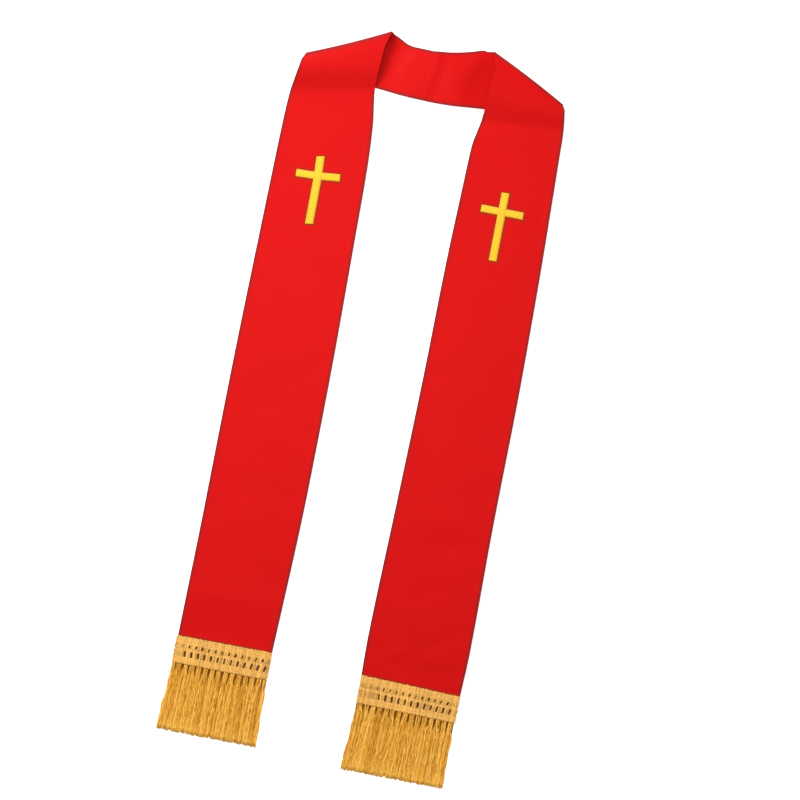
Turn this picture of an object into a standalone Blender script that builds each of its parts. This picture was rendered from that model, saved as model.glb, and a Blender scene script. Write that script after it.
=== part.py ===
"""A clerical stole laid flat on a table.

The stole is a long band of red cloth in two halves, joined by a seam at the centre of the neck.
Each half runs from the seam over a slanting shoulder fold and down the front. The front lies over
the neck piece at the fold. Each front carries a raised cross, and its end carries an openwork braid
with a fringe.

The back of the neck points to +Y and the fringes to -Y. The table is the plane z = 0.
"""

from collections import namedtuple
from math import cos, pi, radians, sin
import random

import bmesh
import bpy
from mathutils import Matrix, Vector

MM = 0.001

# Sizes that the whole part shares, in millimetres
CLOTH_THICKNESS = 2.0
SEAM_GAP = 0.3
SEAM_TOP_X = -4.9
SEAM_FOOT_X = -0.1
ROLL_DEPTH = 5.0
ROLL_STEPS = 6
STRIPS_ACROSS = 8
STEPS_BETWEEN_SECTIONS = 2

# Sizes of the crosses
CROSS_BAR = 12.0
CROSS_ARM_DROP = 26.0
CROSS_HEIGHT_OFF_CLOTH = 1.1
CROSS_EDGE = 0.4

# Sizes of the braids and the fringes
BRAID_THICKNESS = 1.0
SLOT_WIDTH = 3.0
SLOT_HEIGHT = 7.8
STRIP_DEPTH = 5.0
STRIP_BOTTOM = 0.3
STRIP_TOP = 2.4
BUNCHES = 15
STRANDS_PER_BUNCH = 7
STRAND_ROOT_WIDTH = 0.6
STRAND_ROOT_GAP = 0.36
STRAND_TIP_WIDTH = 0.8
STRAND_TIP_TOP = 1.4
STRAND_RAGGED = 1.8
STRAND_BEND_AT = 0.5
STRAND_BEND_SPREAD = 0.45
STRAND_BEND_TOP = 2.1

# One cross-section of a half in millimetres, from its inner edge, by the neck, to its outer edge.
# "out" is the distance from the middle of the stole, and "lift" is how far the cloth is off the table.
Section = namedtuple("Section", "inner_out inner_y inner_lift outer_out outer_y outer_lift")

# The front, from the cloth's end under the braid up to the shoulder
LEFT_FRONT = [
    Section(64.3, -385.5, 0.0, 189.8, -385.5, 0.0),
    Section(62.1, -307.0, 0.0, 189.2, -307.0, 0.0),
    Section(58.6, -130.0, 0.0, 188.8, -130.0, 0.0),
    Section(59.0, 40.0, 0.0, 188.8, 40.0, 0.0),
    Section(61.9, 200.0, 0.0, 187.2, 200.0, 0.0),
    Section(64.3, 306.0, 0.0, 186.1, 306.0, 0.0),
    Section(67.7, 360.0, 0.0, 185.1, 360.0, 0.0),
    Section(71.0, 390.0, 0.0, 183.5, 386.0, 0.0),
    Section(72.4, 402.0, 1.3, 182.2, 397.0, 2.6),
    Section(73.3, 413.0, 3.8, 180.3, 408.0, 6.2),
    Section(73.9, 427.0, 7.6, 178.2, 419.0, 9.0),
    Section(73.8, 446.0, 9.6, 176.3, 427.5, 10.2),
]
RIGHT_FRONT = [
    Section(61.8, -392.8, 0.0, 191.8, -392.8, 0.0),
    Section(59.2, -307.0, 0.0, 195.0, -307.0, 0.0),
    Section(62.1, -130.0, 0.0, 193.3, -130.0, 0.0),
    Section(64.0, 40.0, 0.0, 192.9, 40.0, 0.0),
    Section(64.8, 200.0, 0.0, 189.6, 200.0, 0.0),
    Section(66.7, 306.0, 0.0, 186.5, 306.0, 0.0),
    Section(68.6, 360.0, 0.0, 184.6, 360.0, 0.0),
    Section(72.8, 390.0, 0.0, 183.7, 386.0, 0.0),
    Section(75.0, 402.0, 1.3, 183.2, 397.0, 2.6),
    Section(76.9, 413.0, 3.8, 182.2, 408.0, 6.2),
    Section(77.8, 427.0, 7.6, 180.8, 419.0, 9.0),
    Section(78.6, 446.0, 9.6, 179.2, 427.0, 10.2),
]

# The shoulder fold: the line in the middle of the cloth where it turns under
LEFT_FOLD = Section(68.9, 486.3, 5.25, 171.3, 438.4, 5.25)
RIGHT_FOLD = Section(72.2, 487.9, 5.25, 173.9, 436.9, 5.25)

# The neck piece, from the fold to the last section before the centre seam
LEFT_NECK = [
    Section(51.0, 480.1, 0.0, 133.0, 419.0, 0.0),
    Section(43.0, 476.4, 0.0, 98.0, 413.6, 0.0),
    Section(33.5, 473.9, 0.0, 66.4, 411.8, 0.0),
    Section(19.0, 473.7, 0.0, 33.0, 408.4, 0.0),
]
RIGHT_NECK = [
    Section(55.0, 486.3, 0.0, 136.0, 419.0, 0.0),
    Section(45.6, 483.4, 0.0, 101.0, 414.0, 0.0),
    Section(34.0, 480.1, 0.0, 69.6, 412.0, 0.0),
    Section(17.0, 476.0, 0.0, 33.0, 408.0, 0.0),
]
NECK_TOP_AT_SEAM = 473.5
NECK_FOOT_AT_SEAM = 407.3

Cross = namedtuple("Cross", "out y height span upright_lean arm_lean")
LEFT_CROSS = Cross(126.1, 282.5, 91.5, 60.0, 1.1, 3.5)
RIGHT_CROSS = Cross(124.4, 282.4, 93.0, 59.0, 1.1, 1.2)

# The braid's top edge, its foot and the slots that are cut through it
Braid = namedtuple("Braid", "inner_top_y outer_top_y foot_y slot_foot_y first_slot slot_pitch slots")
LEFT_BRAID = Braid(-353.8, -353.8, -385.7, -381.8, 67.5, 9.08, 14)
RIGHT_BRAID = Braid(-360.5, -363.1, -393.0, -388.4, 70.9, 8.79, 14)

Fringe = namedtuple("Fringe", "top_y inner_root outer_root end_y inner_tip outer_tip seed")
LEFT_FRINGE = Fringe(-385.9, 62.5, 190.8, -482.6, 59.7, 194.8, 3)
RIGHT_FRINGE = Fringe(-393.2, 62.0, 191.6, -488.6, 56.6, 194.8, 8)

LEFT, RIGHT = -1, 1


def clear_scene():
    for obj in list(bpy.data.objects):
        bpy.data.objects.remove(obj)


def material(name, colour, roughness):
    made = bpy.data.materials.new(name)
    made.use_nodes = True
    shader = made.node_tree.nodes["Principled BSDF"]
    shader.inputs["Base Color"].default_value = (*colour, 1.0)
    shader.inputs["Roughness"].default_value = roughness
    shader.inputs["Metallic"].default_value = 0.0
    return made


def place(name, mesh_or_curve, finish, collection):
    obj = bpy.data.objects.new(name, mesh_or_curve)
    obj.data.materials.append(finish)
    collection.objects.link(obj)
    return obj


def mesh_from(name, shape):
    """A mesh from a bmesh that is done with, all its faces pointing out."""
    bmesh.ops.recalc_face_normals(shape, faces=shape.faces)
    mesh = bpy.data.meshes.new(name)
    shape.to_mesh(mesh)
    shape.free()
    return mesh


# Sections along a half

def edges(section):
    """The inner and outer edge points of a section, in the middle of the cloth's thickness."""
    middle = CLOTH_THICKNESS / 2
    inner = Vector((section.inner_out, section.inner_y, middle + section.inner_lift))
    outer = Vector((section.outer_out, section.outer_y, middle + section.outer_lift))
    return inner, outer


def between(before, start, end, after, part):
    """A point on the smooth curve from start to end, whose slopes come from the points on both sides."""
    length = (end - start).length
    slope_start = (end - before) / ((end - start).length + (start - before).length) * length
    slope_end = (after - start) / ((after - end).length + length) * length
    square, cube = part * part, part * part * part
    return (
        start * (2 * cube - 3 * square + 1)
        + slope_start * (cube - 2 * square + part)
        + end * (3 * square - 2 * cube)
        + slope_end * (cube - square)
    )


def smooth_run(pairs):
    """Edge pairs along a run of them, with extra ones worked out in between."""
    run = []
    for index in range(len(pairs) - 1):
        nearby = [pairs[max(index - 1, 0)], pairs[index], pairs[index + 1]]
        nearby.append(pairs[min(index + 2, len(pairs) - 1)])
        for step in range(STEPS_BETWEEN_SECTIONS):
            part = step / STEPS_BETWEEN_SECTIONS
            run.append(tuple(between(*[pair[side] for pair in nearby], part) for side in (0, 1)))
    run.append(pairs[-1])
    return run


def roll_point(turn, fold, front, neck, outward):
    """A point of the roll, whose turn goes from 0 on the front's side to half a circle below it."""
    neighbour = front if turn < pi / 2 else neck
    back = Vector((neighbour.x - fold.x, neighbour.y - fold.y, 0))
    back *= ROLL_DEPTH / abs(back.dot(outward))
    radius = fold.z - CLOTH_THICKNESS / 2
    return fold + back * (1 - sin(turn)) + Vector((0, 0, radius * cos(turn)))


def roll_run(fold_section, front_pair, neck_pair):
    """Edge pairs round the shoulder fold, each a half ellipse at its own edge."""
    fold_pair = edges(fold_section)
    line = fold_pair[1] - fold_pair[0]
    outward = Vector((-line.y, line.x, 0)).normalized()
    run = []
    for step in range(ROLL_STEPS + 1):
        turn = pi * step / ROLL_STEPS
        run.append(
            tuple(roll_point(turn, fold_pair[k], front_pair[k], neck_pair[k], outward) for k in (0, 1))
        )
    return run


def seam_section(side):
    """The half's last section, which stops half a gap short of the centre seam."""
    top = side * SEAM_TOP_X + SEAM_GAP / 2
    foot = side * SEAM_FOOT_X + SEAM_GAP / 2
    return Section(top, NECK_TOP_AT_SEAM, 0.0, foot, NECK_FOOT_AT_SEAM, 0.0)


def half_run(front, fold, neck, side):
    """Edge pairs along a whole half, from its front end to the centre seam."""
    front_pairs = [edges(section) for section in front]
    neck_pairs = [edges(section) for section in neck + [seam_section(side)]]
    roll = roll_run(fold, front_pairs[-1], neck_pairs[0])
    front_run = smooth_run(front_pairs + roll[:1])
    neck_run = smooth_run(roll[-1:] + neck_pairs)
    return front_run[:-1] + roll + neck_run[1:]


def build_half(name, front, fold, neck, side, finish, collection):
    """A wall of cloth: a grid laid through the edge pairs, then thickened to both sides."""
    run = half_run(front, fold, neck, side)
    shape = bmesh.new()
    bmesh.ops.create_grid(shape, x_segments=STRIPS_ACROSS, y_segments=len(run) - 1, size=0.5)
    for vert in shape.verts:
        across = vert.co.x + 0.5
        inner, outer = run[round((vert.co.y + 0.5) * (len(run) - 1))]
        point = inner.lerp(outer, across)
        height = max(point.z, CLOTH_THICKNESS / 2)
        vert.co = Vector((side * point.x, point.y, height)) * MM
    half = place(name, mesh_from(name, shape), finish, collection)
    wall = half.modifiers.new("Cloth", "SOLIDIFY")
    wall.thickness = CLOTH_THICKNESS * MM
    wall.offset = 0.0
    wall.use_even_offset = True
    half.data.shade_smooth()
    return half


# The raised crosses

def bar_outline(length_up, length_down, half_span):
    """The twelve corners of a plain cross round its crossing, anticlockwise."""
    half_bar = CROSS_BAR / 2
    right = [
        (half_bar, -length_down),
        (half_bar, -half_bar),
        (half_span, -half_bar),
        (half_span, half_bar),
        (half_bar, half_bar),
        (half_bar, length_up),
    ]
    left = [(-x, y) for x, y in reversed(right)]
    return right + left


def build_cross(name, cross, side, finish, collection):
    """A flat outline, thickened and rounded at its edges, 0.3 mm above the cloth."""
    outline = bpy.data.curves.new(name, "CURVE")
    outline.dimensions = "2D"
    outline.fill_mode = "BOTH"
    outline.extrude = CROSS_HEIGHT_OFF_CLOTH / 2 * MM
    corners = bar_outline(CROSS_ARM_DROP, cross.height - CROSS_ARM_DROP, cross.span / 2)
    spline = outline.splines.new("POLY")
    spline.points.add(len(corners) - 1)
    spline.use_cyclic_u = True
    for point, (x, y) in zip(spline.points, corners):
        upright_shift = -y * sin(radians(cross.upright_lean))
        arm_shift = x * sin(radians(cross.arm_lean))
        point.co = ((x + upright_shift) * MM, (y + arm_shift) * MM, 0.0, 1.0)
    made = place(name, outline, finish, collection)
    middle = CLOTH_THICKNESS + SEAM_GAP + CROSS_HEIGHT_OFF_CLOTH / 2
    made.location = Vector((side * cross.out, cross.y, middle)) * MM
    weld = made.modifiers.new("Weld", "WELD")
    weld.merge_threshold = 0.00005
    edge = made.modifiers.new("Edge", "BEVEL")
    edge.width = CROSS_EDGE * MM
    edge.segments = 2
    return made


# The openwork braids

def braid_columns(braid, inner, outer):
    """The distances out of the braid's column lines: its ends and both sides of each slot."""
    lines = [inner]
    for index in range(braid.slots):
        middle = braid.first_slot + index * braid.slot_pitch
        lines += [middle - SLOT_WIDTH / 2, middle + SLOT_WIDTH / 2]
    return lines + [outer]


def build_braid(name, braid, inner, outer, side, finish, collection):
    """A grid with its slots left out, thickened upwards from 0.3 mm above the cloth."""
    columns = braid_columns(braid, inner, outer)
    slot_rows = [braid.slot_foot_y, braid.slot_foot_y + SLOT_HEIGHT]
    rows = [braid.foot_y] + slot_rows + [None]
    shape = bmesh.new()
    bmesh.ops.create_grid(shape, x_segments=len(columns) - 1, y_segments=len(rows) - 1, size=0.5)
    slots = []
    for face in shape.faces:
        middle = face.calc_center_median()
        column = int((middle.x + 0.5) * (len(columns) - 1))
        row = int((middle.y + 0.5) * (len(rows) - 1))
        if row == 1 and column % 2 == 1:
            slots.append(face)
    bmesh.ops.delete(shape, geom=slots, context="FACES")
    for vert in shape.verts:
        out = columns[round((vert.co.x + 0.5) * (len(columns) - 1))]
        y = rows[round((vert.co.y + 0.5) * (len(rows) - 1))]
        if y is None:
            across = (out - inner) / (outer - inner)
            y = braid.inner_top_y + across * (braid.outer_top_y - braid.inner_top_y)
        vert.co = Vector((side * out, y, CLOTH_THICKNESS + SEAM_GAP)) * MM
    made = place(name, mesh_from(name, shape), finish, collection)
    wall = made.modifiers.new("Braid", "SOLIDIFY")
    wall.thickness = BRAID_THICKNESS * MM
    wall.offset = 1.0 if made.data.polygons[0].normal.z > 0 else -1.0
    return made


# The fringes

def strand_roots(fringe):
    """The distance out of each strand's root, gathered into bunches."""
    pitch = STRAND_ROOT_WIDTH + STRAND_ROOT_GAP
    bunch_pitch = (fringe.outer_root - fringe.inner_root) / BUNCHES
    roots = []
    for bunch in range(BUNCHES):
        middle = fringe.inner_root + (bunch + 0.5) * bunch_pitch
        for strand in range(STRANDS_PER_BUNCH):
            roots.append(middle + (strand - (STRANDS_PER_BUNCH - 1) / 2) * pitch)
    return roots


def strand_tips(fringe):
    """The distance out of each strand's tip, spread evenly over the fringe's end."""
    count = BUNCHES * STRANDS_PER_BUNCH
    inner = fringe.inner_tip + STRAND_TIP_WIDTH / 2
    outer = fringe.outer_tip - STRAND_TIP_WIDTH / 2
    return [inner + (outer - inner) * index / (count - 1) for index in range(count)]


def build_fringe(name, fringe, side, finish, collection):
    """A narrow strip whose lower side is cut into cells, with a strand drawn out of every second cell."""
    roots, tips = strand_roots(fringe), strand_tips(fringe)
    lines = [fringe.inner_root]
    for root in roots:
        lines += [root - STRAND_ROOT_WIDTH / 2, root + STRAND_ROOT_WIDTH / 2]
    lines.append(fringe.outer_root)
    foot_y = fringe.top_y - STRIP_DEPTH
    shape = bmesh.new()
    bmesh.ops.create_grid(shape, x_segments=len(lines) - 1, y_segments=1, size=0.5)
    for vert in shape.verts:
        out = lines[round((vert.co.x + 0.5) * (len(lines) - 1))]
        y = foot_y if vert.co.y < 0 else fringe.top_y
        vert.co = Vector((side * out, y, STRIP_BOTTOM))
    top = bmesh.ops.extrude_face_region(shape, geom=list(shape.faces))
    for vert in [item for item in top["geom"] if isinstance(item, bmesh.types.BMVert)]:
        vert.co.z = STRIP_TOP
    shape.faces.ensure_lookup_table()
    ragged = random.Random(fringe.seed)
    for root, tip in zip(roots, tips):
        grow_strand(shape, root, tip, foot_y, fringe.end_y + ragged.uniform(0, STRAND_RAGGED), side)
    bmesh.ops.transform(shape, matrix=Matrix.Scale(MM, 4), verts=shape.verts)
    return place(name, mesh_from(name, shape), finish, collection)


def grow_strand(shape, root, tip, foot_y, end_y, side):
    """Draws one four-sided strand out of its cell, in two lengths that bend a little."""
    cell = next(
        face
        for face in shape.faces
        if abs(face.calc_center_median().x - side * root) < STRAND_ROOT_WIDTH / 4
        and all(abs(vert.co.y - foot_y) < SEAM_GAP for vert in face.verts)
    )
    bend_out = root + (tip - root) * STRAND_BEND_SPREAD
    bend = Vector((side * bend_out, foot_y + (end_y - foot_y) * STRAND_BEND_AT))
    end = Vector((side * tip, end_y))
    for point, top in ((bend, STRAND_BEND_TOP), (end, STRAND_TIP_TOP)):
        cell = bmesh.ops.extrude_discrete_faces(shape, faces=[cell])["faces"][0]
        middle = cell.calc_center_median()
        for vert in cell.verts:
            right = 1 if vert.co.x > middle.x else -1
            high = vert.co.z > middle.z
            vert.co.x = point.x + right * STRAND_TIP_WIDTH / 2
            vert.co.y = point.y
            vert.co.z = top if high else STRIP_BOTTOM


def main():
    clear_scene()
    stole = bpy.data.collections.new("Clerical stole")
    bpy.context.scene.collection.children.link(stole)
    red = material("Red cloth", (0.70, 0.012, 0.012), 0.75)
    yellow = material("Yellow embroidery", (0.90, 0.60, 0.03), 0.45)
    gold = material("Gold yarn", (0.72, 0.38, 0.06), 0.5)
    build_half("left_half", LEFT_FRONT, LEFT_FOLD, LEFT_NECK, LEFT, red, stole)
    build_half("right_half", RIGHT_FRONT, RIGHT_FOLD, RIGHT_NECK, RIGHT, red, stole)
    build_cross("cross_left", LEFT_CROSS, LEFT, yellow, stole)
    build_cross("cross_right", RIGHT_CROSS, RIGHT, yellow, stole)
    for name, braid, fringe, side in (
        ("left", LEFT_BRAID, LEFT_FRINGE, LEFT),
        ("right", RIGHT_BRAID, RIGHT_FRINGE, RIGHT),
    ):
        inner, outer = fringe.inner_root, fringe.outer_root
        build_braid("heading_" + name, braid, inner, outer, side, gold, stole)
        build_fringe("fringe_" + name, fringe, side, gold, stole)


main()
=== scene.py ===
# %% [markdown]
# # A clerical stole, laid flat
#
# A stole is a long band of cloth that a minister wears round the neck. This one is red, with a gold cross
# worked on each front, and an openwork braid and a fringe of gold yarn on each end. The lesson dresses a
# plain solid model of it: cloth with a weave, stitched thread, braided yarn and loose yarn.
#
# The solid model comes first. It fixes every size and place, so each piece below is measured against it.

# %% Load the solid model
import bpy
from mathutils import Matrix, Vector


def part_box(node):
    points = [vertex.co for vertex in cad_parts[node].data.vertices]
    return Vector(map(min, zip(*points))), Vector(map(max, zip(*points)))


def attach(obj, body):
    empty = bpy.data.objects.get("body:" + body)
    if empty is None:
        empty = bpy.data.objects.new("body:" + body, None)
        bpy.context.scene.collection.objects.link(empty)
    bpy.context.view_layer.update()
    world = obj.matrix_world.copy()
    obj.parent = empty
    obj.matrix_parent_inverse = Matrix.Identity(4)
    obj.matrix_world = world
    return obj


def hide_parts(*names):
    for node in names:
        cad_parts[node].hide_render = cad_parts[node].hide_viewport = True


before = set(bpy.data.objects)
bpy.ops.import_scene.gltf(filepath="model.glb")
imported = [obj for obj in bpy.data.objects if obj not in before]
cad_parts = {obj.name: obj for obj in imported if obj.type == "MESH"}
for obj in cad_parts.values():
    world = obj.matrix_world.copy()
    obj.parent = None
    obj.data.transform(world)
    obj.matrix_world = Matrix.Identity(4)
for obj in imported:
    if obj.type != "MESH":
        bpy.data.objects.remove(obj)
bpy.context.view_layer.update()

# %% Shared names
from collections import namedtuple
from functools import partial, partialmethod
from math import cos, pi, radians, sin, tan
from types import SimpleNamespace

import bmesh
import bpy
import numpy as np
from mathutils import Vector

MM = 0.001
LEFT, RIGHT = -1, 1
SIDE_NAMES = {LEFT: "left", RIGHT: "right"}


def rows_of(kind, *rows):
    """A table's rows, each with its columns named."""
    return [kind(*row) for row in rows]


def added(name, data):
    """A new object with this data, in the scene."""
    made = bpy.data.objects.new(name, data)
    bpy.context.scene.collection.objects.link(made)
    return made


# %% [markdown]
# ## The camera
#
# The stole lies on a white table and is seen from straight above, turned a little so that its neck points
# up and to the left. An orthographic camera could do this, but a long lens from high up is nearer to a real
# photograph: the raised shoulder folds come out very slightly larger than the rest. The lens follows from
# the height of the camera and the width of table that should fill the picture.

# %% Place the camera
CAMERA_HEIGHT = 2.4
TABLE_IN_VIEW = 1.0667
VIEW_MIDDLE = (0.0397, 0.0089)
VIEW_TURN = radians(11.16)
SENSOR_WIDTH = 36.0

lens = bpy.data.cameras.new("Camera")
lens.sensor_width = SENSOR_WIDTH
lens.lens = SENSOR_WIDTH * CAMERA_HEIGHT / TABLE_IN_VIEW
camera = added("Camera", lens)
camera.location = (*VIEW_MIDDLE, CAMERA_HEIGHT)
camera.rotation_euler = (0, 0, VIEW_TURN)
bpy.context.scene.camera = camera
print("lens", round(lens.lens, 1), "mm")

# %% [markdown]
# ## Light and table
#
# The picture was taken in soft light from the upper left. A pale world gives even light from all round. A
# large lamp high on that side shades the folds, and a broad one overhead makes the middle of the picture a
# little brighter than its ends, as the picture shows. That one hangs between the camera and the table, so
# the camera must not see it. The table is a plain pale sheet. The colours should come out as they are, so
# the picture is shown with the Standard view and not with the filmic one, which would dull a strong red.

# %% Light the table
Lamp = namedtuple("Lamp", "name place size power")
LAMPS = rows_of(
    Lamp,
    ("Side lamp", Vector((-1.35, 1.35, 1.35)), 0.8, 50.0),
    ("Overhead lamp", Vector((-0.1, 0.1, 1.1)), 0.9, 6.3),
)
LAMPS_POINT_AT = Vector((-0.05, 0.1, 0.0))
WORLD_STRENGTH = 0.50
WHITE = (1.0, 1.0, 1.0, 1.0)
TABLE_SIZE = 8.0
BELOW_THE_CLOTH = -0.0002

bpy.context.scene.view_settings.view_transform = "Standard"
world = bpy.data.worlds.new("Studio")
world.use_nodes = True
background = world.node_tree.nodes["Background"].inputs
background["Color"].default_value = WHITE
background["Strength"].default_value = WORLD_STRENGTH
bpy.context.scene.world = world

for lamp in LAMPS:
    light = bpy.data.lights.new(lamp.name, "AREA")
    light.energy = lamp.power
    light.size = lamp.size
    stand = added(lamp.name, light)
    stand.location = lamp.place
    stand.rotation_euler = (LAMPS_POINT_AT - lamp.place).to_track_quat("-Z", "Y").to_euler()
    stand.visible_camera = False

table_shape = bmesh.new()
bmesh.ops.create_grid(table_shape, x_segments=1, y_segments=1, size=TABLE_SIZE / 2)
table_mesh = bpy.data.meshes.new("Table")
table_shape.to_mesh(table_mesh)
table_shape.free()
table = added("Table", table_mesh)
table.location.z = BELOW_THE_CLOTH
print(len(LAMPS), "lamps over a table of", TABLE_SIZE, "m")

# %% [markdown]
# ## Writing node maths as sums
#
# A material's pattern is arithmetic on coordinates, and so is most of what a Geometry Nodes tree does.
# Linking Math nodes one by one hides that arithmetic. The small class below wraps one socket. When Python
# adds or multiplies two of these, the class adds the Math node and links it, so a pattern can be written as
# a plain formula. `node` adds a node of any other type: settings first, then sockets. Two of them come so
# often that they have short names: `part` takes one number out of a vector, and `mix` mixes two colours.

# %% Arithmetic on sockets
class Wire:
    """One output socket of a node tree. Sums and products of wires add the nodes that work them out."""

    def __init__(self, tree, output=None):
        self.tree = tree
        self.output = output

    def node(self, kind, settings=None, sockets=None, out=0):
        """Adds a node of this kind and gives the wire of one of its outputs."""
        made = self.tree.nodes.new(kind)
        for name, value in (settings or {}).items():
            setattr(made, name, value)
        for name, value in (sockets or {}).items():
            if isinstance(value, Wire):
                self.tree.links.new(value.output, made.inputs[name])
            else:
                made.inputs[name].default_value = value
        return Wire(self.tree, made.outputs[out])

    def math(self, operation, *others):
        values = dict(enumerate((self, *others)))
        return self.node("ShaderNodeMath", {"operation": operation}, values)

    __add__ = __radd__ = partialmethod(math, "ADD")
    __sub__ = partialmethod(math, "SUBTRACT")
    __mul__ = __rmul__ = partialmethod(math, "MULTIPLY")
    __truediv__ = partialmethod(math, "DIVIDE")
    sin = partialmethod(math, "SINE")
    sign = partialmethod(math, "SIGN")
    floor = partialmethod(math, "FLOOR")
    absolute = partialmethod(math, "ABSOLUTE")
    at_least = partialmethod(math, "MAXIMUM")
    at_most = partialmethod(math, "MINIMUM")
    power = partialmethod(math, "POWER")

    def __neg__(self):
        return self * -1.0

    def __rsub__(self, other):
        return -self + other

    def rise(self, start, end):
        """0 before start, 1 after end, and a soft slope between them."""
        settings = {"interpolation_type": "SMOOTHSTEP"}
        return self.node("ShaderNodeMapRange", settings, {"Value": self, "From Min": start, "From Max": end})

    def part(self, axis):
        return self.node("ShaderNodeSeparateXYZ", None, {0: self}, out=axis)

    def mix(self, low, high):
        """The colour low where this wire is 0 and high where it is 1. Each is a colour or a wire."""
        low, high = (end if isinstance(end, Wire) else (*end, 1.0) for end in (low, high))
        return self.node("ShaderNodeMix", {"data_type": "RGBA"}, {0: self, 6: low, 7: high}, out=2)


# %% [markdown]
# ## Four finishes
#
# Every material here starts from the Principled shader. What changes over the surface goes to its colour,
# its roughness and its normal. What is the same all over, such as the sheen of cloth, is set on the shader
# itself. A helper makes the shader and hands back a wire to start the maths from.

# %% A helper for materials
def finish(name, colour, roughness, **constants):
    """A new material: its Principled shader's node and a wire to start its maths from."""
    made = bpy.data.materials.new(name)
    made.use_nodes = True
    shader = made.node_tree.nodes["Principled BSDF"]
    shader.inputs["Base Color"].default_value = (*colour, 1.0)
    shader.inputs["Roughness"].default_value = roughness
    for socket, value in constants.items():
        shader.inputs[socket.replace("_", " ")].default_value = value
    return made, shader, Wire(made.node_tree)


def feed(shader, socket, wire):
    wire.tree.links.new(wire.output, shader.inputs[socket])


table_finish, _, _ = finish("Pale table", (0.93, 0.93, 0.93), 0.9, Emission_Strength=0.5,
                            Emission_Color=WHITE)
table.data.materials.append(table_finish)

# %% [markdown]
# ### Red cloth
#
# The band is a plain polyester weave, close and smooth, with hardly any shine. The weave is too fine to
# model, so it is a bump: a sine across times a sine along gives the little squares where one yarn crosses
# over the next. It reads the cloth's own UV map, which is in metres along and across the cloth, so the
# weave follows the fold. Soft noise makes a few yarns thicker and lets the dye vary by a few percent.

# %% Red cloth
YARN_PITCH = 0.00062
RED = (0.541, 0.0014, 0.0012)
RED_DEEP = (0.523, 0.0010, 0.0010)

red_cloth, cloth_shader, cloth_start = finish("Red cloth", RED, 0.62, Sheen_Weight=0.02,
                                              Sheen_Roughness=0.5, Specular_IOR_Level=0.09)
weave_uv = cloth_start.node("ShaderNodeUVMap", {"uv_map": "Cloth"})
squares = (weave_uv.part(0) * (pi / YARN_PITCH)).sin() * (weave_uv.part(1) * (pi / YARN_PITCH)).sin()
slubs = cloth_start.node("ShaderNodeTexNoise", None, {"Vector": weave_uv, "Scale": 900.0, "Detail": 3.0})
weave_height = squares.absolute() * 0.6 + slubs * 0.8
feed(cloth_shader, "Normal", cloth_start.node("ShaderNodeBump", None, {
    "Strength": 0.22, "Distance": 0.00012, "Height": weave_height,
}))
cloudy = cloth_start.node("ShaderNodeTexNoise", None, {"Vector": weave_uv, "Scale": 16.0, "Detail": 4.0})
fleck = cloth_start.node("ShaderNodeTexNoise", None, {"Vector": weave_uv, "Scale": 420.0, "Detail": 2.0})
dye = cloudy.rise(0.35, 0.7) * 0.7 + fleck.rise(0.3, 0.75) * 0.3
cloth_colour = dye.mix(RED_DEEP, RED)
feed(cloth_shader, "Base Color", cloth_colour)
feed(cloth_shader, "Roughness", fleck * 0.12 + 0.56)
print("red cloth:", len(red_cloth.node_tree.nodes), "nodes")

# %% [markdown]
# ### Thread, braid and fringe
#
# The three gold yarns differ in colour and shine: bright rayon thread in the crosses, soft pale yarn in
# the braid, and deeper gold yarn in the fringe. Each strand below is real geometry that carries its own
# tone as an attribute, from 0 to 1, so that no two strands are quite the same colour. In the crosses, the
# fringe and the braid's dark back yarns the tone also holds painted highlight and shade. The strands also
# carry a UV map, along and round, and a slanting stripe in it gives the twist of the yarn as a bump.

# %% Gold yarns
Yarn = namedtuple("Yarn", "name dark light pale roughness specular twist_pitch twist_bump fleck_length "
                          "fleck_depth")
SATIN_THREAD, BRAID_YARN, FRINGE_YARN = rows_of(
    Yarn,
    ("Satin thread", (0.79, 0.35, 0.040), (0.79, 0.50, 0.018), (0.79, 0.53, 0.016),
     0.42, 0.25, 0.0011, 0.12, 0.003, 0.15),
    ("Braid yarn", (0.085, 0.026, 0.002), (0.925, 0.50, 0.118), (0.96, 0.55, 0.14),
     0.65, 0.15, 0.0024, 0.4, 0.0016, 0.42),
    ("Fringe yarn", (0.27, 0.08, 0.002), (1.0, 0.49, 0.045), (1.0, 0.64, 0.155),
     0.55, 0.2, 0.0028, 0.5, 0.008, 0.35),
)


def yarn_finish(yarn):
    """Dark to light by the strand's tone and in flecks, pale at its brightest, with a twist along it."""
    made, shader, start = finish(yarn.name, yarn.light, yarn.roughness, Specular_IOR_Level=yarn.specular)
    tone = start.node("ShaderNodeAttribute", {"attribute_name": "tone"}, out=2)
    strand_uv = start.node("ShaderNodeUVMap", {"uv_map": "Strand"})
    length, turn = strand_uv.part(0), strand_uv.part(1)
    plies = (length * (2 * pi / yarn.twist_pitch) + turn * (4 * pi)).sin() * 0.5 + 0.5
    place = start.node("ShaderNodeCombineXYZ", None, {0: length * (1 / yarn.fleck_length), 1: tone * 83.0})
    flecks = start.node("ShaderNodeTexNoise", None, {"Vector": place, "Scale": 1.0, "Detail": 2.0})
    shade = tone + (flecks.rise(0.3, 0.7) - 0.5) * yarn.fleck_depth + (plies - 0.5) * 0.12
    ground = shade.at_least(0.0).at_most(1.0).mix(yarn.dark, yarn.light)
    feed(shader, "Base Color", shade.rise(0.65, 1.15).mix(ground, yarn.pale))
    feed(shader, "Normal", start.node("ShaderNodeBump", None, {
        "Strength": yarn.twist_bump, "Distance": 0.0002, "Height": plies,
    }))
    feed(shader, "Roughness", tone * -0.1 + (yarn.roughness + 0.05))
    return made


satin_thread, braid_yarn, fringe_yarn = map(yarn_finish, (SATIN_THREAD, BRAID_YARN, FRINGE_YARN))
print("gold yarns:", [made.name for made in (satin_thread, braid_yarn, fringe_yarn)])

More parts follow.
